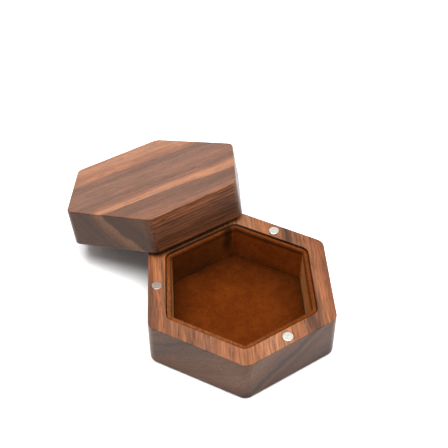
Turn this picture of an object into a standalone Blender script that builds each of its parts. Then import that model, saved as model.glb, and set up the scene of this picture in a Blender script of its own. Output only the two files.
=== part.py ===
"""A hexagonal ring box: two milled wooden trays, lined with suede, that close face to face on magnets.

The base stands on the ground plane. The lid has been lifted off and leans against the base: one
edge of its mating face stands on the ground behind the base, and the opposite edge lies over the
base's rim. Each tray is modelled standing on its closed face with its rim up, and the lid's pieces
hang from an empty that turns the tray over and leans it.

Metres, +Z up. The origin is the centre of the base's underside, and +Y points to the leaning lid.
"""

from math import asin, atan2, cos, hypot, pi, radians, sin, tan

import bmesh
import bpy
from mathutils import Matrix, Vector

MM = 0.001

# Driving dimensions
FLAT_TO_FLAT = 75.0 * MM
BASE_HEIGHT = 21.4 * MM
LID_HEIGHT = 16.2 * MM
RIM_WIDTH = 7.2 * MM
BASE_FLOOR = 3.4 * MM
LID_CEILING = 4.4 * MM
OUTER_CORNER = 4.5 * MM
POCKET_CORNER = 4.0 * MM
BASE_FOOT_EDGE = 1.0 * MM
LID_TOP_EDGE = 0.5 * MM
BASE_RIM_EDGE = 0.3 * MM
LID_RIM_EDGE = 0.3 * MM
POCKET_EDGE = 0.3 * MM
MAGNET_DIAMETER = 4.4 * MM
MAGNET_THICKNESS = 2.0 * MM
SUEDE = 0.5 * MM
CARD = 0.8 * MM
LINING_BELOW_RIM = 0.5 * MM
LID_OVERLAP = 7.8 * MM  # how far the leaning lid reaches over the base's rim, along its mating face

# Clearances
PIECE_GAP = 0.3 * MM
CARD_PLAY = 0.2 * MM
MAGNET_PLAY = 0.15 * MM

# Derived sizes
SIDES = 6
SIDE_ANGLE = 2 * pi / SIDES
HALF_WIDTH = FLAT_TO_FLAT / 2
LINING = 2 * SUEDE + CARD + 2 * CARD_PLAY
PAD = SUEDE + CARD_PLAY + CARD
OUTER = (HALF_WIDTH, OUTER_CORNER)
POCKET = (HALF_WIDTH - RIM_WIDTH, POCKET_CORNER)
MAGNET_RING = HALF_WIDTH - RIM_WIDTH / 2
MAGNET_SIDES = (0, 2, 4)  # every other side carries a magnet

# Facets
CORNER_STEPS = 6
EDGE_STEPS = 3
ROLL_STEPS = 6
DISC_STEPS = 24


def clear_scene():
    for thing in list(bpy.data.objects):
        bpy.data.objects.remove(thing, do_unlink=True)


def material(name, colour, roughness, metallic=0.0):
    made = bpy.data.materials.new(name)
    made.use_nodes = True
    made.diffuse_color = (*colour, 1.0)
    shader = made.node_tree.nodes["Principled BSDF"]
    shader.inputs["Base Color"].default_value = (*colour, 1.0)
    shader.inputs["Roughness"].default_value = roughness
    shader.inputs["Metallic"].default_value = metallic
    return made


def place(name, mesh, finish, parent=None, location=(0, 0, 0), turn=0.0):
    """An object on this mesh, at its place under its parent."""
    made = bpy.data.objects.new(name, mesh)
    bpy.context.scene.collection.objects.link(made)
    made.parent = parent
    made.location = location
    made.rotation_euler = (0, 0, turn)
    if finish and not mesh.materials:
        mesh.materials.append(finish)
    return made


def mesh_of(name, shape, sharp_angle=radians(40)):
    """The finished bmesh as mesh data, smooth except at its sharp edges."""
    bmesh.ops.recalc_face_normals(shape, faces=shape.faces)
    made = bpy.data.meshes.new(name)
    shape.to_mesh(made)
    shape.free()
    made.shade_smooth()
    made.set_sharp_from_angle(angle=sharp_angle)
    return made


def ring(outline, outward, z):
    """The outline moved outward from itself, at height z: its apothem, corner radius and height."""
    apothem, corner = outline
    return (apothem + outward, corner + outward, z)


def hexagon(apothem, corner, z):
    """The points of a hexagon with round corners, whose corners point along X."""
    reach = (apothem - corner) / cos(SIDE_ANGLE / 2)
    points = []
    for side in range(SIDES):
        middle = side * SIDE_ANGLE
        for step in range(CORNER_STEPS + 1):
            angle = middle + SIDE_ANGLE * (step / CORNER_STEPS - 0.5)
            x = reach * cos(middle) + corner * cos(angle)
            y = reach * sin(middle) + corner * sin(angle)
            points.append(Vector((x, y, z)))
    return points


def rounded_edge(outline, z, radius, outward=1, upward=1):
    """The rings of a rounded edge, from the wall to the flat that it meets at height z.

    outward is 1 where the wall faces out and -1 where it faces in, and upward is 1 where the
    flat faces up and -1 where it faces down.
    """
    rings = []
    for step in range(EDGE_STEPS + 1):
        angle = pi / 2 * step / EDGE_STEPS
        across = -outward * radius * (1 - cos(angle))
        along = -upward * radius * (1 - sin(angle))
        rings.append(ring(outline, across, z + along))
    return rings


def loft(name, rings, closed=False):
    """Skins the rings in order. A closed loft joins its last ring to its first, as in a hoop."""
    shape = bmesh.new()
    rows = [[shape.verts.new(point) for point in hexagon(*one)] for one in rings]
    pairs = list(zip(rows, rows[1:]))
    if closed:
        pairs.append((rows[-1], rows[0]))
    else:
        shape.faces.new(rows[0])
        shape.faces.new(rows[-1])
    for first, second in pairs:
        for here in range(len(first)):
            after = (here + 1) % len(first)
            shape.faces.new((first[here], first[after], second[after], second[here]))
    return mesh_of(name, shape)


def disc_mesh(name, diameter, thickness, edge=0.0):
    """A disc whose top face is at z = 0."""
    shape = bmesh.new()
    lower = Matrix.Translation((0, 0, -thickness / 2))
    bmesh.ops.create_cone(
        shape, cap_ends=True, segments=DISC_STEPS, matrix=lower,
        radius1=diameter / 2, radius2=diameter / 2, depth=thickness,
    )
    if edge:
        rims = [e for e in shape.edges if abs(e.verts[0].co.z - e.verts[1].co.z) < edge]
        bmesh.ops.bevel(shape, geom=rims, offset=edge, segments=2, affect="EDGES", profile=0.5)
    return mesh_of(name, shape)


def board_mesh(name, length, thickness, height):
    """A flat board with eased edges, standing on z = 0, its thickness along X."""
    shape = bmesh.new()
    size = Matrix.Diagonal((thickness, length, height, 1))
    bmesh.ops.create_cube(shape, size=1, matrix=Matrix.Translation((0, 0, height / 2)) @ size)
    bmesh.ops.bevel(
        shape, geom=list(shape.edges), offset=thickness / 8, segments=1, affect="EDGES",
    )
    return mesh_of(name, shape)


def side_direction(side):
    angle = (side + 0.5) * SIDE_ANGLE
    return Vector((cos(angle), sin(angle), 0)), angle


def build_shell(prefix, height, floor, closed_edge, rim_edge, finish, parent):
    """The milled block: outside, rim and pocket in one skin, with blind holes for the magnets."""
    rings = [
        *reversed(rounded_edge(OUTER, 0, closed_edge, upward=-1)),
        *rounded_edge(OUTER, height, rim_edge),
        *reversed(rounded_edge(POCKET, height, POCKET_EDGE, outward=-1)),
        ring(POCKET, 0, floor),
    ]
    shell = place(f"{prefix}_shell", loft(f"{prefix}_shell", rings), finish, parent)
    depth = MAGNET_THICKNESS + PIECE_GAP
    drill = disc_mesh(f"{prefix}_drill", MAGNET_DIAMETER + 2 * MAGNET_PLAY, 2 * depth)
    for number, side in enumerate(MAGNET_SIDES, 1):
        direction, _ = side_direction(side)
        cutter = place(f"{prefix}_drill_{number}", drill, None, parent)
        cutter.location = direction * MAGNET_RING + Vector((0, 0, height + depth))
        cutter.hide_render = True
        cutter.display_type = "WIRE"
        hole = shell.modifiers.new(f"magnet_hole_{number}", "BOOLEAN")
        hole.operation = "DIFFERENCE"
        hole.solver = "EXACT"
        hole.object = cutter


def build_magnets(prefix, height, finish, parent):
    mesh = disc_mesh(f"{prefix}_magnet", MAGNET_DIAMETER, MAGNET_THICKNESS, edge=0.15 * MM)
    for number, side in enumerate(MAGNET_SIDES, 1):
        direction, _ = side_direction(side)
        spot = direction * MAGNET_RING + Vector((0, 0, height))
        place(f"{prefix}_magnet_{number}", mesh, finish, parent, spot)


def roll(outline, middle, z, radius):
    """Half a circle over the top of a folded sheet, from its outer face to its inner face."""
    turns = [pi * step / ROLL_STEPS for step in range(ROLL_STEPS + 1)]
    return [ring(outline, middle + radius * cos(a), z + radius * sin(a)) for a in turns]


def build_wall_lining(prefix, height, floor, suede, card, parent):
    """The suede hoop folded over six stiff cards, one behind each wall."""
    outer = -PIECE_GAP
    middle = outer - LINING / 2
    foot = floor + PIECE_GAP
    crest = height - LINING_BELOW_RIM - LINING / 2
    slot = LINING / 2 - SUEDE
    rings = [
        ring(POCKET, outer, foot),
        *roll(POCKET, middle, crest, LINING / 2),
        ring(POCKET, outer - LINING, foot),
        ring(POCKET, middle - slot, foot),
        *reversed(roll(POCKET, middle, crest, slot)),
        ring(POCKET, middle + slot, foot),
    ]
    mesh = loft(f"{prefix}_wall_suede", rings, closed=True)
    place(f"{prefix}_wall_suede", mesh, suede, parent)

    apothem, corner, _ = ring(POCKET, middle, 0)
    length = 2 * (apothem - corner) * tan(SIDE_ANGLE / 2)
    board = board_mesh(f"{prefix}_wall_card", length, CARD, crest - foot)
    for side in range(SIDES):
        direction, angle = side_direction(side)
        spot = direction * apothem + Vector((0, 0, foot))
        place(f"{prefix}_wall_card_{side + 1}", board, card, parent, spot, angle)


def build_pad(prefix, floor, suede, card, parent):
    """The suede cap that closes the pocket's bottom, pulled over a stiff card."""
    edge = -2 * PIECE_GAP - LINING
    foot = floor + CARD_PLAY
    top = foot + PAD
    outline = (POCKET[0] + edge, POCKET[1] + edge)
    rings = [
        ring(outline, -SUEDE, top - SUEDE),
        ring(outline, -SUEDE, foot),
        ring(outline, 0, foot),
        *rounded_edge(outline, top, SUEDE),
    ]
    place(f"{prefix}_suede", loft(f"{prefix}_suede", rings), suede, parent)
    rings = [ring(outline, -SUEDE - CARD_PLAY, z) for z in (foot, foot + CARD)]
    place(f"{prefix}_card", loft(f"{prefix}_card", rings), card, parent)


def lean_lid():
    """The empty that turns the lid's tray over and leans it on the base.

    The lid touches the ground with the round edge of its mating face, and its mating face rests
    on the round edge of the base's rim. foot and rest are the centres of those two roundings.
    """
    along = FLAT_TO_FLAT - LID_OVERLAP - LID_RIM_EDGE
    below = LID_RIM_EDGE + BASE_RIM_EDGE + PIECE_GAP
    rise = BASE_HEIGHT - BASE_RIM_EDGE - LID_RIM_EDGE
    lean = atan2(below, along) + asin(rise / hypot(below, along))
    tilt = Matrix.Rotation(-lean, 4, "X")
    rest = Vector((0, HALF_WIDTH - BASE_RIM_EDGE, BASE_HEIGHT - BASE_RIM_EDGE))
    rest_in_lid = Vector((0, LID_OVERLAP - HALF_WIDTH, -BASE_RIM_EDGE - PIECE_GAP))
    mating_face = rest - tilt @ rest_in_lid
    empty = bpy.data.objects.new("lid_lean", None)
    bpy.context.scene.collection.objects.link(empty)
    empty.location = mating_face + tilt @ Vector((0, 0, LID_HEIGHT))
    empty.rotation_euler = (tilt @ Matrix.Rotation(pi, 4, "Y")).to_euler()
    return empty


def build_tray(prefix, pad, height, floor, closed_edge, rim_edge, finishes, parent=None):
    walnut, suede, card, nickel = finishes
    build_shell(prefix, height, floor, closed_edge, rim_edge, walnut, parent)
    build_magnets(prefix, height, nickel, parent)
    build_wall_lining(prefix, height, floor, suede, card, parent)
    build_pad(f"{prefix}_{pad}", floor, suede, card, parent)


clear_scene()
finishes = (
    material("walnut", (0.20, 0.085, 0.04), roughness=0.45),
    material("suede", (0.20, 0.055, 0.012), roughness=0.95),
    material("card", (0.42, 0.36, 0.29), roughness=0.9),
    material("nickel", (0.80, 0.78, 0.72), roughness=0.25, metallic=1.0),
)
build_tray("base", "floor", BASE_HEIGHT, BASE_FLOOR, BASE_FOOT_EDGE, BASE_RIM_EDGE, finishes)
build_tray(
    "lid", "ceiling", LID_HEIGHT, LID_CEILING, LID_TOP_EDGE, LID_RIM_EDGE, finishes,
    parent=lean_lid(),
)
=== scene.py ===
"""The looks of a hexagonal walnut ring box lined with suede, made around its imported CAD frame.

The box is two trays, a base and a lid. Each tray has a space of its own, in which it stands on
its closed face: z is 0 on that face and the rim is up. Every piece is shaped in that space, in
metres, and put in place by the tray's matrix, which is read off the frame.
"""

from math import cos, hypot, pi, radians, sin, sqrt, tan

import bmesh
import bpy
from mathutils import Matrix, Vector, noise


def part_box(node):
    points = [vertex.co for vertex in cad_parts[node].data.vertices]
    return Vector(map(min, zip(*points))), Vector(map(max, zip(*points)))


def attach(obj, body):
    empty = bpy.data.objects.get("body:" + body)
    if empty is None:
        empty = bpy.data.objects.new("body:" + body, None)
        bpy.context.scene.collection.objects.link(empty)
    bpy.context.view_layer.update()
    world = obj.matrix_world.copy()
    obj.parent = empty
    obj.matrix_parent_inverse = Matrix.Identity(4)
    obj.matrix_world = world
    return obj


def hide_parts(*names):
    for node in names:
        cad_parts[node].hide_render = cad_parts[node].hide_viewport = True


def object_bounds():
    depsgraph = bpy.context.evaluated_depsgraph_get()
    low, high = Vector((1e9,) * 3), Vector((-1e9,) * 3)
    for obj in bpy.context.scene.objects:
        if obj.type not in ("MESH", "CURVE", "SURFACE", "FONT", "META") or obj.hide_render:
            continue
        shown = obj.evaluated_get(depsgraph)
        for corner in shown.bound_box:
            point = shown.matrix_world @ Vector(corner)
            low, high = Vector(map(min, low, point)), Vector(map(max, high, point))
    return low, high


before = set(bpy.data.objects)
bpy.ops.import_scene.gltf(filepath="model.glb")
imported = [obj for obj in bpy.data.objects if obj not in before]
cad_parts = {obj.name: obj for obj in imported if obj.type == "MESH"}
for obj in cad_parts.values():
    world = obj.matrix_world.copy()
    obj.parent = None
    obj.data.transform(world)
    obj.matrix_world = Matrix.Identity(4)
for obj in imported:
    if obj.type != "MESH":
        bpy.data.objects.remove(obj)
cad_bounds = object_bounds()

MM = 0.001

# The camera, at the height and heading that look down into the open base
CAMERA_SPOT = (-0.14015, -0.20372, 0.29422)
CAMERA_DOWN = radians(44.12)
CAMERA_RIGHT_OF_Y = radians(33.06)
CAMERA_LENS = 71.9

# The studio
BRIGHT_SIDE = radians(45)  # the heading, right of +Y, that the light tent is brightest at
SOFTBOX_SPOT = (-0.03, 0.0, 0.95)
SOFTBOX_WIDTH = 0.95
SOFTBOX_POWER = 16
FLOOR_REACH = 3.0
FLOOR_DROP = 0.05 * MM  # keeps the floor just clear of the box's underside

# The hexagon
SIDES = 6
SIDE_ANGLE = 2 * pi / SIDES
MAGNET_SIDES = (0, 2, 4)  # every other side carries a magnet

# Rounded edges of the wood and the magnets
FOOT_EDGE = {"base": 1.0 * MM, "lid": 0.5 * MM}
RIM_EDGE = 0.3 * MM
POCKET_EDGE = 0.3 * MM
MAGNET_PLAY = 0.15 * MM
MAGNET_EDGE = 0.2 * MM
DRILL_EDGE = 0.01 * MM
SHADED_MAGNET = ("base", 2)  # the one painted darker: painted shade for the dark reflection in it

# The lining's shape
SUEDE = 0.5 * MM
LINING = 2.2 * MM  # across the suede that is folded over its card
WALL_GAP = 0.3 * MM
PUFF = 0.22 * MM
WRINKLE = 0.16 * MM
SEAM_CORNER = 1  # the strip's two ends meet in this corner, counted from +X
SEAM_FOLD = 0.75 * MM
FREE_EDGE = 0.05 * MM  # how far the folded edge stands off the wood
CREST_SQUARENESS = 0.6  # 1 is a round crest, and less is squarer
CREST_SAG = 0.12 * MM
PAD_CROWN = 0.12 * MM
PAD_SWELL = 0.10 * MM

# Painted light and shade on the lining, and the wear on its crest, with headings as azimuths from +X
LIT_WALL_HEADING = radians(0)  # the wall here is painted the lightest
# how much lighter that wall is painted
PAINTED_WALL_LIGHT = 1.35
# painted shade in the fold beside the seam
SEAM_SHADE_DARKER = 0.75
# painted shade on the inner side under the roll
UNDER_ROLL_SHADE = 0.5
WEAR_AND_SHEEN_HEADING = radians(190)  # where fingers wear the crest, and where its painted sheen is strongest
PAD_PAINTED_LIGHT_HEADING = radians(235)  # the middle of the pad's patch of painted light
PAD_PAINTED_LIGHT_AWAY = 5 * MM
# how light the pad is painted at that patch, and how much painted shade darkens it towards the walls
PAD_PAINTED_LIGHTEST = 0.88
PAD_PAINTED_SHADE = 0.36

# Facets
CORNER_STEPS = 12
EDGE_STEPS = 5
DISC_STEPS = 64
LINING_CORNER_STEPS = 6
LINING_SIDE_STEPS = 26
ROLL_STEPS = 12
WALL_STEPS = 12
PAD_RINGS = 22


# ---------------------------------------------------------------- the trays' own spaces


def middle(node):
    """The middle of a CAD node's box."""
    low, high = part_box(node)
    return (low + high) / 2


class Tray:
    """A tray's place, and the sizes that its CAD pieces have in its own space."""

    def __init__(self, name, pad):
        self.name = name
        self.pad = pad
        magnets = [middle(f"{name}_magnet_{number}") for number in (1, 2, 3)]
        centre = (magnets[0] + magnets[1] + magnets[2]) / 3
        x = (magnets[0] - magnets[1]).normalized()
        y = (centre - magnets[2]).normalized()
        axes = Matrix((x, y, x.cross(y))).transposed().to_4x4()
        self.matrix = Matrix.Translation(centre) @ axes
        self.matrix = self.matrix @ Matrix.Translation((0, 0, self.box("shell")[0].z))

        low, high = self.box("shell")
        self.height = high.z
        self.outer = outline_of(high)
        low, high = self.box("wall_suede")
        apothem, corner = outline_of(high)
        self.pocket = (apothem + WALL_GAP, corner + WALL_GAP)
        self.wall_foot = low.z
        self.wall_crest = high.z
        low, high = self.box(f"{pad}_suede")
        self.pad_outline = outline_of(high)
        self.pad_foot = low.z
        self.pad_top = high.z
        self.floor = self.wall_foot - WALL_GAP
        low, high = self.box("magnet_3")
        self.magnet_size = (high.x - low.x, high.z - low.z)
        self.magnet_ring = -(low.y + high.y) / 2

    def box(self, piece):
        """The lowest and highest corner of one of the tray's CAD nodes, in the tray's space."""
        inverse = self.matrix.inverted()
        points = [inverse @ v.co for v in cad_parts[f"{self.name}_{piece}"].data.vertices]
        low = Vector([min(p[axis] for p in points) for axis in range(3)])
        high = Vector([max(p[axis] for p in points) for axis in range(3)])
        return low, high

    def node(self, piece):
        return f"{self.name}_{piece}"

    def put(self, piece, mesh, finish, slot, spot=(0, 0, 0)):
        """Shows this mesh instead of the CAD node of that name."""
        made = bpy.data.objects.new(f"{self.name}_{piece}_look", mesh)
        bpy.context.scene.collection.objects.link(made)
        made.matrix_world = self.matrix @ Matrix.Translation(spot)
        if not mesh.materials:
            mesh.materials.append(finish)
        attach(made, self.name)
        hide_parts(self.node(piece))
        return made


def outline_of(high):
    """The apothem and corner radius of a hexagon with these greatest x and y."""
    stretch = 1 / cos(SIDE_ANGLE / 2)
    apothem = high.y
    corner = (apothem * stretch - high.x) / (stretch - 1)
    return apothem, corner


# ---------------------------------------------------------------- meshes


def hexagon(outline, outward, z, corner_steps=CORNER_STEPS, side_steps=1):
    """Points round a hexagon with round corners that point along X, moved outward."""
    apothem, corner = (size + outward for size in outline)
    reach = (apothem - corner) / cos(SIDE_ANGLE / 2)
    points = []
    for side in range(SIDES):
        middle_angle = side * SIDE_ANGLE
        centre = Vector((cos(middle_angle), sin(middle_angle), 0)) * reach
        for step in range(corner_steps + 1):
            angle = middle_angle + SIDE_ANGLE * (step / corner_steps - 0.5)
            points.append(centre + Vector((cos(angle), sin(angle), 0)) * corner)
        start = points[-1]
        next_angle = middle_angle + SIDE_ANGLE
        next_centre = Vector((cos(next_angle), sin(next_angle), 0)) * reach
        turn = middle_angle + SIDE_ANGLE / 2
        end = next_centre + Vector((cos(turn), sin(turn), 0)) * corner
        for step in range(1, side_steps):
            points.append(start.lerp(end, step / side_steps))
    return [Vector((p.x, p.y, z)) for p in points]


def rounded_edge(z, radius, outward=1, upward=1, steps=EDGE_STEPS):
    """(outward, z) of a rounded edge, from the wall to the flat that it meets at height z."""
    turns = [pi / 2 * step / steps for step in range(steps + 1)]
    across = [-outward * radius * (1 - cos(turn)) for turn in turns]
    along = [z - upward * radius * (1 - sin(turn)) for turn in turns]
    return list(zip(across, along))


def skin(name, rows, hoop=False):
    """Joins rows of points, in order. A hoop joins its last row to its first."""
    shape = bmesh.new()
    rows = [[shape.verts.new(point) for point in row] for row in rows]
    pairs = list(zip(rows, rows[1:]))
    if hoop:
        pairs.append((rows[-1], rows[0]))
    else:
        shape.faces.new(rows[0])
        shape.faces.new(rows[-1])
    for first, second in pairs:
        for here in range(len(first)):
            after = (here + 1) % len(first)
            shape.faces.new((first[here], first[after], second[after], second[here]))
    bmesh.ops.recalc_face_normals(shape, faces=shape.faces)
    mesh = bpy.data.meshes.new(name)
    shape.to_mesh(mesh)
    shape.free()
    mesh.shade_smooth()
    return mesh


def finished(name, mesh, cutters=()):
    """The mesh with the cutters taken out of it, shaded so that its flats look flat."""
    body = bpy.data.objects.new(name, mesh)
    bpy.context.scene.collection.objects.link(body)
    for cutter in cutters:
        hole = body.modifiers.new(cutter.name, "BOOLEAN")
        hole.solver = "EXACT"
        hole.object = cutter
    flats = body.modifiers.new("flats", "WEIGHTED_NORMAL")
    flats.keep_sharp = True
    bpy.context.view_layer.update()
    graph = bpy.context.evaluated_depsgraph_get()
    made = bpy.data.meshes.new_from_object(body.evaluated_get(graph))
    made.name = name
    for thing in (body, *cutters):
        bpy.data.objects.remove(thing)
    return made


def turned_disc(name, radius, thickness, edge):
    """A disc whose top face is at z = 0, with its top edge rounded."""
    profile = [(radius, -thickness)]
    profile += [(radius + across, z) for across, z in rounded_edge(0, edge)]
    angles = [2 * pi * step / DISC_STEPS for step in range(DISC_STEPS)]
    return skin(name, [[Vector((r * cos(a), r * sin(a), z)) for a in angles] for r, z in profile])


# ---------------------------------------------------------------- the wooden shell


def magnet_spots(tray):
    """The middles of the magnets' faces, on the rim."""
    angles = [(side + 0.5) * SIDE_ANGLE for side in MAGNET_SIDES]
    return [Vector((cos(a), sin(a), 0)) * tray.magnet_ring + Vector((0, 0, tray.height)) for a in angles]


def make_shell(tray, walnut):
    """The milled block: outside, rim and pocket in one skin, with a blind hole for each magnet."""
    foot = FOOT_EDGE[tray.name]
    name = tray.node("wood")
    outside = list(reversed(rounded_edge(0, foot, upward=-1))) + rounded_edge(tray.height, RIM_EDGE)
    pocket = list(reversed(rounded_edge(tray.height, POCKET_EDGE, outward=-1))) + [(0, tray.floor)]
    rows = [hexagon(tray.outer, across, z) for across, z in outside]
    rows += [hexagon(tray.pocket, across, z) for across, z in pocket]
    diameter, thickness = tray.magnet_size
    cutters = []
    for spot in magnet_spots(tray):
        drill = turned_disc("drill", diameter / 2 + MAGNET_PLAY, 2 * thickness, DRILL_EDGE)
        cutter = bpy.data.objects.new("drill", drill)
        bpy.context.scene.collection.objects.link(cutter)
        cutter.location = spot + Vector((0, 0, thickness - WALL_GAP))
        cutters.append(cutter)
    mesh = finished(name, skin(name, rows), cutters)
    tray.put("shell", mesh, walnut, "walnut")


def make_magnets(tray, nickel):
    diameter, thickness = tray.magnet_size
    mesh = finished(tray.node("disc"), turned_disc("disc", diameter / 2, thickness, MAGNET_EDGE))
    for number, spot in enumerate(magnet_spots(tray), 1):
        disc = mesh.copy()
        # this magnet is painted darker, as painted shade for a dark reflection
        reflection_shade = 1.0 if (tray.name, number) == SHADED_MAGNET else 0.0
        draw(disc, "reflection_shade", [reflection_shade] * len(disc.vertices))
        tray.put(f"magnet_{number}", disc, nickel, "nickel", spot)


# ---------------------------------------------------------------- the suede lining


def ease(value, low, high):
    """0 below low, 1 above high, and smooth between them."""
    share = min(max((value - low) / (high - low), 0), 1)
    return share * share * (3 - 2 * share)


def towards(point, heading):
    """1 for a point that lies at this azimuth from the middle, and -1 for one opposite."""
    return point.xy.normalized().dot(Vector((cos(heading), sin(heading))))


def along_side(point):
    """The normal of the side that a point is at, and its place there: -1 and 1 at the corners."""
    turned = point.xy.angle_signed(Vector((1, 0))) % (2 * pi)
    angle = (turned // SIDE_ANGLE + 0.5) * SIDE_ANGLE
    normal = Vector((cos(angle), sin(angle), 0))
    lengthwise = Vector((-sin(angle), cos(angle), 0))
    half_side = point.dot(normal) * tan(SIDE_ANGLE / 2)
    return normal, point.dot(lengthwise) / half_side


def off_middle(point):
    """How far out a point is, square to its side."""
    normal, _ = along_side(point)
    return point.dot(normal)


def from_seam(point):
    """How far round from the corner where the suede strip's ends meet."""
    angle = SEAM_CORNER * SIDE_ANGLE
    seam = Vector((cos(angle), sin(angle)))
    return point.xy.angle_signed(seam) * point.xy.length


def draw(mesh, name, values):
    """Keeps a value at each of the mesh's points, for its finish to read."""
    kept = mesh.attributes.new(name, "FLOAT", "POINT")
    kept.data.foreach_set("value", values)


def seam_fold(point):
    """The fold by the seam: a ridge beside it, a dip past that, and then the flat leaf."""
    beside = from_seam(point)
    ridge = ease(beside, 0.2 * MM, 1.6 * MM)
    dip = 1.4 * ease(beside, 1.8 * MM, 3.6 * MM)
    back = 0.4 * ease(beside, 4 * MM, 8 * MM)
    return SEAM_FOLD * (ridge - dip + back)


def slack(tray, point, seed):
    """How far the suede stands off its card, towards the middle of the box."""
    _, share = along_side(point)
    up = ease(point.z, tray.pad_top, tray.pad_top + 3 * MM)
    under_roll = 1 - 0.6 * ease(point.z, tray.wall_crest - 4 * MM, tray.wall_crest - 1 * MM)
    puff = PUFF * (1 - share * share)
    spot = point / MM
    ripples = noise.noise(Vector((spot.x * 0.13, spot.y * 0.13, spot.z * 0.09 + seed)))
    ripples += 0.5 * noise.noise(Vector((spot.x * 0.35, spot.y * 0.35, spot.z * 0.2 - seed)))
    return up * under_roll * (puff + WRINKLE * ripples + seam_fold(point))


def loosen(tray, point, inward, seed):
    """Moves a point of the folded suede off its card, and its crest a little down.

    inward is 1 on the leaf that faces the middle of the box, and 0 on the leaf against the wood.
    """
    normal, _ = along_side(point)
    wobble = noise.noise(Vector((point.x, point.y, seed * MM)) / (6 * MM))
    lift = ease(point.z, tray.wall_crest - LINING, tray.wall_crest)
    near_crest = ease(point.z, tray.wall_crest - 4 * MM, tray.wall_crest - 1 * MM)
    shift = slack(tray, point, seed) * inward
    shift += FREE_EDGE * near_crest * (1 - inward)
    point -= normal * shift
    point.z -= lift * CREST_SAG * (1 + wobble)


def fuller(value, outer=1.0):
    """Squares a round crest where outer is above 0: on the side that is pressed against the wood."""
    if value <= 0 or outer <= 0:
        return value
    return value ** CREST_SQUARENESS


def wall_profile(tray):
    """(outward, z) across the folded suede: its outside, then back along its inside."""
    outer_radius = LINING / 2
    inner_radius = outer_radius - SUEDE
    centre = -WALL_GAP - outer_radius
    crest = tray.wall_crest - outer_radius
    foot = tray.wall_foot

    def leaf(offset):
        return [(offset, foot + (crest - foot) * step / WALL_STEPS) for step in range(WALL_STEPS)]

    def roll(radius, first, last):
        turns = [first + (last - first) * step / ROLL_STEPS for step in range(ROLL_STEPS + 1)]
        return [
            (centre + radius * fuller(cos(turn)), crest + radius * fuller(sin(turn), cos(turn)))
            for turn in turns
        ]

    outside = leaf(centre + outer_radius) + roll(outer_radius, 0, pi)
    outside += list(reversed(leaf(centre - outer_radius)))
    inside = leaf(centre - inner_radius) + roll(inner_radius, pi, 0)
    inside += list(reversed(leaf(centre + inner_radius)))
    return outside, inside


def painted_wall_light(tray, point):
    """Painted light and shade on the walls' suede, as a factor on its colour.

    One side of the box is painted lighter. The fold beside the seam gets painted shade, and so does the
    inner side under the roll.
    """
    below_crest = tray.wall_crest - point.z
    # one side of the box is painted lighter, from a little under the crest down
    lighter = PAINTED_WALL_LIGHT * ease(towards(point, LIT_WALL_HEADING), 0.0, 0.75)
    lighter *= ease(below_crest, 0.8 * MM, 2.6 * MM)
    waver = noise.noise(point / (3 * MM)) * MM
    # painted shade in the fold beside the seam
    seam_shade = 1 - ease(abs(from_seam(point) - 3 * MM + waver), 0.8 * MM, 3.2 * MM)
    seam_shade *= ease(point.z, tray.pad_top, tray.pad_top + 9 * MM)
    off_wood = tray.pocket[0] - off_middle(point)
    # painted shade on the inner side under the roll
    turned = ease(off_wood, 1.55 * MM, 2.05 * MM) * (1 - ease(below_crest, 0.9 * MM, 2.2 * MM))
    return (1 + lighter) * (1 - SEAM_SHADE_DARKER * seam_shade) * (1 - UNDER_ROLL_SHADE * turned)


def crest_wear_and_sheen(tray, point):
    """How pale the crest is made: partly worn by fingers, partly a painted sheen on its top; most where
    they open the box, at its front.
    """
    crest = ease(point.z, tray.wall_crest - 1.3 * MM, tray.wall_crest - 0.2 * MM)
    return crest * (0.25 + 0.75 * ease(towards(point, WEAR_AND_SHEEN_HEADING), 0.2, 0.9))


def make_wall_lining(tray, suede, seed):
    """The suede hoop that is folded over the six wall cards, with its soft leaf facing in."""
    outside, inside = wall_profile(tray)
    rows = []
    for across, z in outside + inside:
        row = hexagon(tray.pocket, across, z, LINING_CORNER_STEPS, LINING_SIDE_STEPS)
        inward = ease(-across - WALL_GAP, LINING / 4, LINING * 3 / 4)
        for point in row:
            loosen(tray, point, inward, seed)
        rows.append(row)
    mesh = skin(tray.node("hoop"), rows, hoop=True)
    # painted light and shade on the walls, kept on the mesh's points
    draw(mesh, "nap_and_painted_light", [painted_wall_light(tray, v.co) for v in mesh.vertices])
    # the crest: worn pale by fingers, and partly a painted sheen
    draw(mesh, "rubbed_and_sheen", [crest_wear_and_sheen(tray, v.co) for v in mesh.vertices])
    made = tray.put("wall_suede", mesh, suede, "suede")
    cards = [tray.node(f"wall_card_{side + 1}") for side in range(SIDES)]


def pad_face(tray, inward, lowered, seed):
    """Rows of one face of the pad's suede: from its skirt's foot, over the edge, to the middle."""
    apothem, corner = tray.pad_outline
    outline = (apothem - inward, corner - inward / 2)
    steps = (LINING_CORNER_STEPS, LINING_SIDE_STEPS)
    rows = [hexagon(outline, 0, tray.pad_foot, *steps)]
    for across, z in rounded_edge(tray.pad_top, SUEDE):
        rows.append(hexagon(outline, across, max(z - lowered, tray.pad_foot), *steps))
    rim = rows[-1]
    for ring in range(1, PAD_RINGS):
        share = 1 - ring / PAD_RINGS
        rows.append([Vector((p.x * share, p.y * share, tray.pad_top - lowered)) for p in rim])
    for row in rows[1:]:
        for point in row:
            from_edge = ease(1 - off_middle(point) / apothem, 0, 0.12)
            spot = point / MM
            swell = noise.noise(Vector((spot.x * 0.09, spot.y * 0.09, seed)))
            point.z += from_edge * (PAD_CROWN + PAD_SWELL * swell)
    return rows


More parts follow.
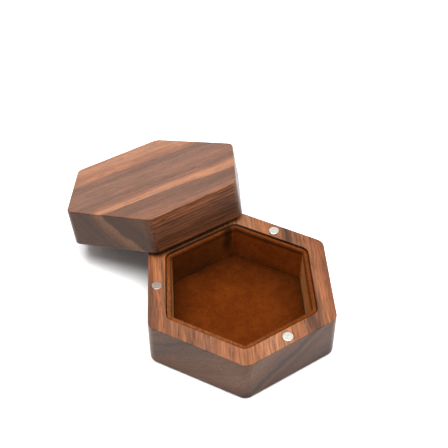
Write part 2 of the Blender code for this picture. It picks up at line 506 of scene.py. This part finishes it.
def make_pad(tray, suede, seed):
    """The suede cap over the stiff card that closes the pocket's bottom."""
    apothem, _ = tray.pad_outline
    lower = pad_face(tray, SUEDE, SUEDE, seed)
    upper = pad_face(tray, 0, 0, seed)
    mesh = skin(tray.node("cap"), list(reversed(lower)) + upper)
    # painted light on a patch off the pad's middle, and painted shade towards the walls
    heading = Vector((cos(PAD_PAINTED_LIGHT_HEADING), sin(PAD_PAINTED_LIGHT_HEADING)))
    away = [(v.co.xy - heading * PAD_PAINTED_LIGHT_AWAY).length / apothem for v in mesh.vertices]
    draw(mesh, "nap_and_painted_light", [PAD_PAINTED_LIGHTEST - PAD_PAINTED_SHADE * ease(share, 0.30, 1.15) for share in away])
    made = tray.put(f"{tray.pad}_suede", mesh, suede, "suede")
    cards = [tray.node(f"{tray.pad}_card")]


# ---------------------------------------------------------------- node trees


class Nodes:
    """A node tree, and short calls that add nodes to it."""

    def __init__(self, tree):
        self.tree = tree

    def node(self, kind, sockets, **settings):
        made = self.tree.nodes.new(kind)
        for name, value in settings.items():
            setattr(made, name, value)
        for socket, value in sockets.items():
            self.plug(made.inputs[socket], value)
        return made

    def plug(self, socket, value):
        if isinstance(value, bpy.types.NodeSocket):
            self.tree.links.new(value, socket)
        else:
            socket.default_value = value

    def math(self, operation, first, second=0.0):
        return self.node("ShaderNodeMath", {0: first, 1: second}, operation=operation).outputs[0]

    def sum(self, *terms):
        total = terms[0]
        for term in terms[1:]:
            total = self.math("ADD", total, term)
        return total

    def times(self, first, second):
        return self.math("MULTIPLY", first, second)

    def between(self, value, low, high, start=0.0, end=1.0):
        """Runs smoothly from start to end as value goes from low to high."""
        sockets = {"Value": value, "From Min": low, "From Max": high, "To Min": start, "To Max": end}
        return self.node("ShaderNodeMapRange", sockets, interpolation_type="SMOOTHSTEP").outputs[0]

    def along(self, vector, axis):
        """How far the vector goes along this axis."""
        made = self.node("ShaderNodeVectorMath", {0: vector, 1: axis}, operation="DOT_PRODUCT")
        return made.outputs["Value"]


class Recipe(Nodes):
    """A material's nodes, and the calls that mix its colours and patterns."""

    def __init__(self, name):
        self.material = bpy.data.materials.new(name)
        self.material.use_nodes = True
        super().__init__(self.material.node_tree)
        self.shader = self.tree.nodes["Principled BSDF"]

    def mix(self, share, first, second, blend="MIX"):
        sockets = {0: share, 6: first, 7: second}
        made = self.node("ShaderNodeMix", sockets, data_type="RGBA", blend_type=blend)
        return made.outputs[2]

    def tinted(self, share, colour, tint):
        """The colour, multiplied by the tint to this share."""
        return self.mix(share, colour, tint, blend="MULTIPLY")

    def lit(self, colour, light):
        """The colour, made lighter or darker by this factor."""
        grey = self.node("ShaderNodeCombineColor", {0: light, 1: light, 2: light}).outputs[0]
        return self.tinted(1.0, colour, grey)

    def scaled(self, vector, scale, turn=0.0, shift=(0, 0, 0)):
        sockets = {"Vector": vector, "Scale": scale, "Rotation": (0, 0, turn), "Location": shift}
        return self.node("ShaderNodeMapping", sockets).outputs[0]

    def noise(self, vector, scale=1.0, detail=3.0, rough=0.55, twist=0.0):
        sockets = {
            "Vector": vector, "Scale": scale, "Detail": detail, "Roughness": rough, "Distortion": twist,
        }
        return self.node("ShaderNodeTexNoise", sockets).outputs["Fac"]

    def ramp(self, value, stops):
        """A colour ramp through (position, colour) stops, smooth between them."""
        made = self.node("ShaderNodeValToRGB", {"Fac": value})
        made.color_ramp.interpolation = "EASE"
        elements = made.color_ramp.elements
        for position, colour in stops[:-2]:
            elements.new(position)
        for element, (position, colour) in zip(elements, stops):
            element.position = position
            element.color = (*colour, 1.0)
        return made.outputs["Color"]

    def bump(self, height, depth, strength=1.0):
        sockets = {"Height": height, "Distance": depth, "Strength": strength}
        return self.node("ShaderNodeBump", sockets).outputs["Normal"]

    def drawn(self, name):
        """The value that a mesh keeps at each of its points under this name."""
        return self.node("ShaderNodeAttribute", {}, attribute_name=name).outputs["Fac"]

    def facing(self, axis):
        """1 where the surface faces along this axis of the piece, either way, and 0 across it."""
        normal = self.node("ShaderNodeTexCoord", {}).outputs["Normal"]
        return self.math("ABSOLUTE", self.along(normal, axis))

    def millimetres(self):
        """The point in the piece's own space, in millimetres."""
        place = self.node("ShaderNodeTexCoord", {}).outputs["Object"]
        return self.scaled(place, (1 / MM, 1 / MM, 1 / MM))

    def finish(self, **inputs):
        for name, value in inputs.items():
            self.plug(self.shader.inputs[name.replace("_", " ")], value)
        return self.material


# ---------------------------------------------------------------- walnut

TONES = {
    "tan": (0.218, 0.086, 0.036),
    "amber": (0.185, 0.062, 0.020),
    "rose": (0.142, 0.049, 0.017),
    "russet": (0.122, 0.036, 0.011),
    "mauve": (0.110, 0.040, 0.017),
    "brown": (0.084, 0.028, 0.009),
    "umber": (0.036, 0.012, 0.005),
}
LATE_WOOD_TINT = (0.42, 0.34, 0.30, 1.0)
SIDE_TINT = (1.06, 0.99, 0.95, 1.0)
END_GRAIN_TINT = (0.490, 0.575, 0.655, 1.0)
PORE_TINT = (0.30, 0.26, 0.25, 1.0)
YEARS_PER_MM = 0.43
SOAKED_SHARE = 0.03  # how far the oil that end grain soaks up evens its colour


def across_rings(wood, place, wander, rise, slant, seed):
    """Millimetres square to the growth rings, with their wander and ragged edges."""
    parts = wood.node("ShaderNodeSeparateXYZ", {0: place}).outputs
    ragged = wood.noise(wood.scaled(place, (0.03, 0.14, 0.14), shift=(0, seed, seed)), detail=4)
    return wood.sum(
        parts["Y"],
        wood.times(parts["Z"], rise),
        wood.times(parts["X"], slant),
        wood.between(wander, 0.2, 0.8, -2.2, 2.2),
        wood.between(ragged, 0.2, 0.8, -1.5, 1.5),
    )


def band_colour(wood, across, bands):
    """The tone of the band that each point lies in, smooth between bands."""
    first, last = bands[0][0], bands[-1][0]
    span = last - first
    stops = [((at - first) / span, TONES[tone]) for at, tone in bands]
    share = wood.math("DIVIDE", wood.math("SUBTRACT", across, first), span)
    return wood.ramp(share, stops)


def ring_lines(wood, place, across, seed):
    """The fine lines that lie in the growth rings."""
    parts = wood.node("ShaderNodeSeparateXYZ", {0: place}).outputs
    growth = wood.node("ShaderNodeCombineXYZ", {0: wood.times(parts["X"], 0.02), 1: across, 2: 0.0})
    return wood.noise(wood.scaled(growth.outputs[0], (1, 0.9, 1), shift=(seed, 0, 0)), detail=3)


def late_wood(wood, across, lines, wander):
    """The dark end of each year's growth: it deepens slowly, and stops sharply."""
    years = wood.sum(wood.times(across, YEARS_PER_MM), wood.times(lines, 2.2))
    phase = wood.math("FRACT", years)
    late = wood.times(wood.between(phase, 0.45, 0.93), wood.between(phase, 0.93, 0.99, 1.0, 0.0))
    return wood.times(late, wood.between(wander, 0.35, 0.6, 0.12, 0.34))


def fibre_light(wood, place, fibres, side, end_grain, seed):
    """How light the fibres are: streaked and cut by dark lines along the grain, not on its ends."""
    cloud = wood.noise(wood.scaled(place, (0.05, 0.09, 0.09), shift=(0, 0, seed)), detail=3)
    streaks = wood.noise(wood.scaled(place, (0.025, 0.62, 0.62), shift=(0, 0, seed)), detail=3, rough=0.6)
    cuts = wood.noise(wood.scaled(place, (0.008, 1.9, 1.9), shift=(seed, 0, 0)), detail=2, rough=0.4)
    long_grain = wood.between(end_grain, 0.0, 1.0, 1.0, 0.22)
    streaked = wood.times(long_grain, wood.between(streaks, 0.32, 0.68, -0.15, 0.19))
    depth = wood.times(long_grain, wood.between(side, 0.0, 1.0, 0.10, 0.56))
    cut = wood.times(wood.between(cuts, 0.47, 0.58), depth)
    light = wood.between(fibres, 0.30, 0.70, 0.70, 1.30)
    light = wood.times(light, wood.between(cloud, 0.25, 0.75, 0.86, 1.14))
    light = wood.times(light, wood.sum(1.0, streaked))
    return wood.times(light, wood.math("SUBTRACT", 1.0, cut))


def open_pores(wood, place, lines, late, seed):
    """The open vessels, which crowd where the rings are dark."""
    vessels = wood.noise(wood.scaled(place, (0.15, 2.9, 2.9), shift=(0, seed, 0)), detail=2, rough=0.5)
    crowd = wood.sum(wood.between(lines, 0.35, 0.65, 0.30, 0.95), late)
    return wood.times(wood.between(vessels, 0.57, 0.66), crowd)


def make_walnut(name, grain, rise, slant, bands, seed):
    """Walnut that was sawn at a slant to its growth rings.

    The grain runs at this azimuth in the tray's space. The rings are planes along the grain that
    climb rise millimetres sideways for each millimetre of height, and turn by slant from the
    grain. bands are (millimetres across the closed face, tone) pairs.
    """
    wood = Recipe(name)
    place = wood.scaled(wood.millimetres(), (1, 1, 1), turn=-grain)
    side = wood.between(wood.facing((0, 0, 1)), 0.3, 0.9, 1.0, 0.0)
    end_grain = wood.between(wood.facing((cos(grain), sin(grain), 0)), 0.35, 0.80)
    wander = wood.noise(wood.scaled(place, (0.012, 0.035, 0.035), shift=(seed, seed, 0)), detail=2)
    across = across_rings(wood, place, wander, rise, slant, seed)
    lines = ring_lines(wood, place, across, seed)
    late = late_wood(wood, across, lines, wander)
    fibres = wood.noise(wood.scaled(place, (0.09, 1.7, 1.7), shift=(seed, 0, 0)), detail=5, rough=0.62)
    pores = open_pores(wood, place, lines, late, seed)

    colour = band_colour(wood, across, bands)
    colour = wood.mix(wood.between(lines, 0.42, 0.70, 0.0, 0.30), colour, (*TONES["umber"], 1))
    colour = wood.tinted(late, colour, LATE_WOOD_TINT)
    colour = wood.lit(colour, fibre_light(wood, place, fibres, side, end_grain, seed))
    pore_depth = wood.between(end_grain, 0.0, 1.0, 0.85, 0.60)
    colour = wood.tinted(wood.times(pores, pore_depth), colour, PORE_TINT)
    colour = wood.tinted(side, colour, SIDE_TINT)
    soaked = wood.mix(SOAKED_SHARE, colour, (*TONES["rose"], 1))
    colour = wood.mix(end_grain, colour, wood.tinted(1.0, soaked, END_GRAIN_TINT))

    rough = wood.sum(wood.between(fibres, 0.25, 0.75, 0.32, 0.42), wood.times(pores, 0.25))
    height = wood.math("SUBTRACT", wood.times(fibres, 0.35), pores)
    return wood.finish(
        Base_Color=colour, Roughness=rough, Normal=wood.bump(height, 0.12 * MM, 0.6),
        Specular_IOR_Level=0.20,
    )


# ---------------------------------------------------------------- the other materials

# the crest's pale colour: worn nap, and partly a painted sheen
WORN_AND_SHEEN_SUEDE = (0.20, 0.078, 0.028, 1.0)
# darkens one magnet: painted shade for a dark reflection
REFLECTION_SHADE_TINT = (0.52, 0.44, 0.41, 1.0)


def make_suede(name):
    """Cognac suede: a cloudy nap in lighter and darker patches, with a fine fibre, and the painted light
    and shade that each piece keeps on its points.
    """
    hide = Recipe(name)
    place = hide.millimetres()
    clouds = hide.noise(hide.scaled(place, (0.11, 0.11, 0.11)), detail=4, rough=0.55, twist=0.6)
    nap_and_painted_light = hide.noise(hide.scaled(place, (0.35, 0.35, 0.35), shift=(9, 4, 2)), detail=3, twist=0.8)
    tufts = hide.noise(hide.scaled(place, (1.1, 1.1, 1.1), shift=(2, 7, 5)), detail=3, rough=0.6)
    fibre = hide.noise(hide.scaled(place, (5.5, 5.5, 5.5)), detail=2, rough=0.7)
    nap = hide.sum(hide.times(clouds, 0.34), hide.times(nap_and_painted_light, 0.32), hide.times(tufts, 0.34))
    colour = hide.ramp(nap, [
        (0.30, (0.046, 0.0075, 0.0006)),
        (0.45, (0.066, 0.0120, 0.0010)),
        (0.57, (0.086, 0.0170, 0.0015)),
        (0.72, (0.115, 0.0260, 0.0026)),
    ])
    # the crest's worn nap and painted sheen
    rubbed_and_sheen = hide.times(hide.drawn("rubbed_and_sheen"), hide.between(tufts, 0.3, 0.7, 0.10, 0.50))
    colour = hide.mix(rubbed_and_sheen, colour, WORN_AND_SHEEN_SUEDE)
    # painted light and shade, read from each piece's points
    colour = hide.lit(colour, hide.drawn("nap_and_painted_light"))
    height = hide.sum(hide.times(fibre, 0.4), hide.times(tufts, 0.5), hide.times(nap_and_painted_light, 0.5))
    return hide.finish(
        Base_Color=colour, Roughness=0.95, Normal=hide.bump(height, 0.15 * MM, 0.7),
        Sheen_Weight=0.16, Sheen_Roughness=0.4, Sheen_Tint=(1.0, 0.46, 0.16, 1.0),
        Specular_IOR_Level=0.02,
    )


def make_nickel(name):
    """Plated magnet faces: bright, slightly warm, with faint marks from handling."""
    plate = Recipe(name)
    place = plate.millimetres()
    marks = plate.noise(plate.scaled(place, (0.7, 0.7, 0.7)), detail=4, rough=0.6)
    scratches = plate.noise(plate.scaled(place, (9.0, 0.8, 1.0), turn=radians(35)), detail=2)
    reflection_shade = plate.drawn("reflection_shade")
    colour = plate.ramp(marks, [
        (0.3, (0.52, 0.49, 0.43)),
        (0.5, (0.60, 0.58, 0.52)),
        (0.7, (0.66, 0.64, 0.59)),
    ])
    # one magnet is painted darker: painted shade for a dark reflection
    colour = plate.tinted(reflection_shade, colour, REFLECTION_SHADE_TINT)
    rough = plate.sum(
        plate.between(marks, 0.3, 0.7, 0.10, 0.16),
        plate.times(scratches, 0.06),
        plate.times(reflection_shade, 0.05),
    )
    return plate.finish(
        Base_Color=colour, Roughness=rough, Metallic=1.0,
        Normal=plate.bump(scratches, 0.002 * MM, 0.3),
    )


def make_greyboard(name):
    """The stiff board inside the lining: grey pulp with darker and lighter fibres."""
    board = Recipe(name)
    place = board.millimetres()
    pulp = board.noise(board.scaled(place, (1.2, 1.2, 1.2)), detail=5, rough=0.65, twist=0.5)
    colour = board.ramp(pulp, [
        (0.30, (0.20, 0.18, 0.15)),
        (0.50, (0.36, 0.33, 0.28)),
        (0.70, (0.50, 0.47, 0.41)),
    ])
    return board.finish(Base_Color=colour, Roughness=0.92, Normal=board.bump(pulp, 0.08 * MM, 0.8))


def make_white_paper(name):
    paper = Recipe(name)
    tooth = paper.noise(paper.millimetres(), 0.8, detail=4)
    white = paper.ramp(tooth, [(0.3, (0.80, 0.80, 0.80)), (0.7, (0.83, 0.83, 0.83))])
    return paper.finish(Base_Color=white, Roughness=0.9)


# ---------------------------------------------------------------- stage, light and camera


def make_floor(paper):
    shape = bmesh.new()
    bmesh.ops.create_grid(shape, x_segments=1, y_segments=1, size=FLOOR_REACH)
    mesh = bpy.data.meshes.new("floor")
    shape.to_mesh(mesh)
    shape.free()
    mesh.materials.append(paper)
    floor = bpy.data.objects.new("floor", mesh)
    floor.location.z = -FLOOR_DROP
    bpy.context.scene.collection.objects.link(floor)


def make_softbox(target):
    """A round light, nearly overhead."""
    lamp = bpy.data.lights.new("softbox", "AREA")
    lamp.shape = "DISK"
    lamp.size = SOFTBOX_WIDTH
    lamp.energy = SOFTBOX_POWER
    light = bpy.data.objects.new("softbox", lamp)
    light.location = SOFTBOX_SPOT
    light.rotation_euler = (target - Vector(SOFTBOX_SPOT)).to_track_quat("-Z", "Y").to_euler()
    bpy.context.scene.collection.objects.link(light)


def make_world(horizon, zenith, front, backdrop):
    """A white light tent: brightest overhead, and dimmer on the camera's side by the share front.

    The camera itself sees a plain white backdrop.
    """
    world = bpy.data.worlds.new("light_tent")
    world.use_nodes = True
    tent = Nodes(world.node_tree)
    direction = tent.node("ShaderNodeTexCoord", {}).outputs["Generated"]
    up = tent.along(direction, (0, 0, 1))
    bright = tent.along(direction, (sin(BRIGHT_SIDE), cos(BRIGHT_SIDE), 0))
    glow = tent.times(
        tent.between(up, 0.79, 0.99, horizon, zenith),
        tent.between(bright, -0.7, 0.5, front, 1.0),
    )
    seen = tent.node("ShaderNodeLightPath", {}).outputs["Is Camera Ray"]
    strength = tent.node("ShaderNodeMix", {0: seen, 2: glow, 3: backdrop}).outputs[0]
    background = tent.tree.nodes["Background"]
    tent.plug(background.inputs["Color"], (1.0, 1.0, 1.0, 1.0))
    tent.plug(background.inputs["Strength"], strength)
    bpy.context.scene.world = world


def make_camera():
    lens = bpy.data.cameras.new("camera")
    lens.lens = CAMERA_LENS
    lens.clip_start = 0.01
    camera = bpy.data.objects.new("camera", lens)
    camera.location = CAMERA_SPOT
    camera.rotation_euler = (pi / 2 - CAMERA_DOWN, 0, -CAMERA_RIGHT_OF_Y)
    bpy.context.scene.collection.objects.link(camera)
    bpy.context.scene.camera = camera


# ---------------------------------------------------------------- the box

# Where each tone of the wood is at its strongest, in millimetres across the growth rings
BASE_BANDS = (
    (-78, "brown"), (-71, "brown"), (-68.5, "russet"), (-66.5, "amber"), (-64.5, "rose"),
    (-61, "amber"), (-58, "rose"), (-55.5, "brown"), (-52.5, "rose"), (-49.5, "mauve"),
    (-46, "rose"), (-41, "amber"), (-32, "amber"), (-25, "tan"), (-21, "tan"), (-15, "amber"),
    (-9.3, "rose"), (-7.6, "brown"), (-6.3, "umber"), (-4.6, "brown"), (-3, "rose"),
    (-1, "amber"), (2, "russet"), (6, "russet"), (9, "rose"), (13, "rose"), (20, "mauve"),
    (30, "brown"), (42, "mauve"),
)
LID_BANDS = (
    (-42, "rose"), (-35, "rose"), (-31, "mauve"), (-27, "brown"), (-22.5, "brown"),
    (-20.5, "brown"), (-19, "tan"), (-15.5, "tan"), (-13.5, "amber"), (-11.5, "mauve"),
    (-9, "mauve"), (-7, "brown"), (-4, "mauve"), (10, "mauve"), (13, "brown"), (15, "brown"),
    (17.5, "rose"), (20, "amber"), (25, "amber"), (29, "tan"), (33, "tan"), (37, "amber"),
    (42, "rose"), (56, "mauve"),
)


def make_tray(name, pad, walnut, suede, nickel, seed):
    """One tray's visible pieces. pad is what its suede pad is called, and seed varies the suede."""
    tray = Tray(name, pad)
    make_shell(tray, walnut)
    make_magnets(tray, nickel)
    make_wall_lining(tray, suede, seed)
    make_pad(tray, suede, seed)


def dress_cards(greyboard):
    """Gives the CAD's cards their finish."""
    for name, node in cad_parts.items():
        if "_card" in name:
            node.data.materials.clear()
            node.data.materials.append(greyboard)


make_camera()
make_floor(make_white_paper("white_paper"))
make_world(horizon=1.2, zenith=5.5, front=0.27, backdrop=1.0)
make_softbox((cad_bounds[0] + cad_bounds[1]) / 2)
bpy.context.scene.view_settings.view_transform = "Standard"

suede = make_suede("suede_nap")
nickel = make_nickel("nickel_plate")
base_walnut = make_walnut("base_walnut", radians(240), -1.5, -0.11, BASE_BANDS, 3.0)
lid_walnut = make_walnut("lid_walnut", 0.0, 0.96, -0.06, LID_BANDS, 8.0)
make_tray("base", "floor", base_walnut, suede, nickel, 1.0)
make_tray("lid", "ceiling", lid_walnut, suede, nickel, 5.0)
dress_cards(make_greyboard("greyboard_pulp"))
